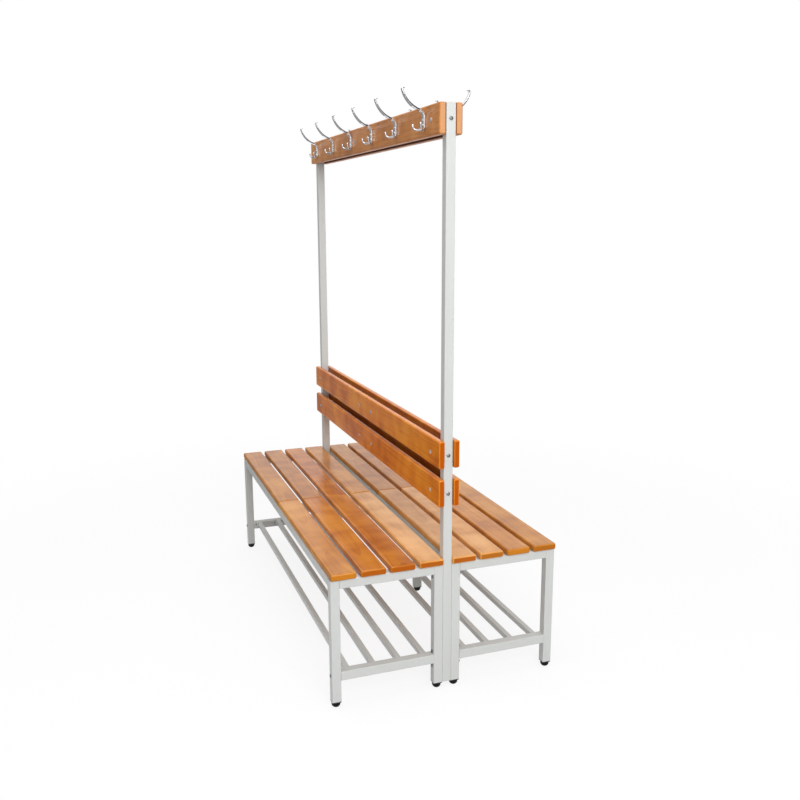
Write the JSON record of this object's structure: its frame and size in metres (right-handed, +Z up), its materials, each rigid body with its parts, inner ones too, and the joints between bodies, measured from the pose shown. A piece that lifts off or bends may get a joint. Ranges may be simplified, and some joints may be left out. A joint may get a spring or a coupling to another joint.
{
  "type": "cloakroom bench",
  "caption": "Two-sided cloakroom bench: slatted wooden seats back to back on a steel tube frame, with shoe racks, backrests and rails of coat hooks above.",
  "frame": {"origin": "centre of the bench's footprint, on the floor", "axes": "+X along the bench to its near end, +Y from side a to side b, +Z up"},
  "size_m": [1.5, 0.7802, 1.8838],
  "materials": {
    "frame_grey": "light grey powder coat",
    "cap_grey": "moulded, light grey",
    "seat_wood": "clear lacquer, satin",
    "back_wood": "clear lacquer, satin",
    "rail_wood": "clear lacquer, satin",
    "hook_chrome": "bright chrome plate",
    "foot_black": "moulded, glossy",
    "socket_black": "moulded",
    "fixing_steel": "zinc plate"
  },
  "bodies": {
    "bench": {"back_tube_lower": "frame_grey", "back_tube_top": "frame_grey", "back_tube_upper": "frame_grey", "backrest_board_a_lower": "back_wood", "backrest_board_a_upper": "back_wood", "backrest_board_b_lower": "back_wood", "backrest_board_b_upper": "back_wood", "foot_sockets": "socket_black", "frame_bolts": "fixing_steel", "frame_nuts": "fixing_steel", "hook_rail_a": "rail_wood", "hook_rail_b": "rail_wood", "hooks_a": "hook_chrome", "hooks_b": "hook_chrome", "leg_a_far_inner": "frame_grey", "leg_a_far_outer": "frame_grey", "leg_a_middle": "frame_grey", "leg_a_near_inner": "frame_grey", "leg_a_near_outer": "frame_grey", "leg_b_far_inner": "frame_grey", "leg_b_far_outer": "frame_grey", "leg_b_middle": "frame_grey", "leg_b_near_inner": "frame_grey", "leg_b_near_outer": "frame_grey", "post_caps": "cap_grey", "post_far": "frame_grey", "post_near": "frame_grey", "seat_cross_tubes_a": "frame_grey", "seat_cross_tubes_b": "frame_grey", "seat_side_rails_a": "frame_grey", "seat_side_rails_b": "frame_grey", "shoe_rack_a": "frame_grey", "shoe_rack_b": "frame_grey", "slat_a1_far": "seat_wood", "slat_a1_near": "seat_wood", "slat_a2_far": "seat_wood", "slat_a2_near": "seat_wood", "slat_a3_far": "seat_wood", "slat_a3_near": "seat_wood", "slat_a4_far": "seat_wood", "slat_a4_near": "seat_wood", "slat_b1_far": "seat_wood", "slat_b1_near": "seat_wood", "slat_b2_far": "seat_wood", "slat_b2_near": "seat_wood", "slat_b3_far": "seat_wood", "slat_b3_near": "seat_wood", "slat_b4_far": "seat_wood", "slat_b4_near": "seat_wood", "wood_screws": "fixing_steel"},
    "levelling_foot_a_near_inner": {"foot_a_near_inner": "foot_black"},
    "levelling_foot_a_near_outer": {"foot_a_near_outer": "foot_black"},
    "levelling_foot_a_far_inner": {"foot_a_far_inner": "foot_black"},
    "levelling_foot_a_far_outer": {"foot_a_far_outer": "foot_black"},
    "levelling_foot_b_near_inner": {"foot_b_near_inner": "foot_black"},
    "levelling_foot_b_near_outer": {"foot_b_near_outer": "foot_black"},
    "levelling_foot_b_far_inner": {"foot_b_far_inner": "foot_black"},
    "levelling_foot_b_far_outer": {"foot_b_far_outer": "foot_black"},
    "levelling_foot_a_middle": {"foot_a_middle": "foot_black"},
    "levelling_foot_b_middle": {"foot_b_middle": "foot_black"}
  },
  "joints": [
    {"name": "foot_a_near_inner_travel", "type": "slide", "parent": "bench", "child": "levelling_foot_a_near_inner", "axis": [0, 0, -1], "range_m": [0, 0.012]},
    {"name": "foot_a_near_outer_travel", "type": "slide", "parent": "bench", "child": "levelling_foot_a_near_outer", "axis": [0, 0, -1], "range_m": [0, 0.012]},
    {"name": "foot_a_far_inner_travel", "type": "slide", "parent": "bench", "child": "levelling_foot_a_far_inner", "axis": [0, 0, -1], "range_m": [0, 0.012]},
    {"name": "foot_a_far_outer_travel", "type": "slide", "parent": "bench", "child": "levelling_foot_a_far_outer", "axis": [0, 0, -1], "range_m": [0, 0.012]},
    {"name": "foot_b_near_inner_travel", "type": "slide", "parent": "bench", "child": "levelling_foot_b_near_inner", "axis": [0, 0, -1], "range_m": [0, 0.012]},
    {"name": "foot_b_near_outer_travel", "type": "slide", "parent": "bench", "child": "levelling_foot_b_near_outer", "axis": [0, 0, -1], "range_m": [0, 0.012]},
    {"name": "foot_b_far_inner_travel", "type": "slide", "parent": "bench", "child": "levelling_foot_b_far_inner", "axis": [0, 0, -1], "range_m": [0, 0.012]},
    {"name": "foot_b_far_outer_travel", "type": "slide", "parent": "bench", "child": "levelling_foot_b_far_outer", "axis": [0, 0, -1], "range_m": [0, 0.012]},
    {"name": "foot_a_middle_travel", "type": "slide", "parent": "bench", "child": "levelling_foot_a_middle", "axis": [0, 0, -1], "range_m": [0, 0.012]},
    {"name": "foot_b_middle_travel", "type": "slide", "parent": "bench", "child": "levelling_foot_b_middle", "axis": [0, 0, -1], "range_m": [0, 0.012]}
  ]
}
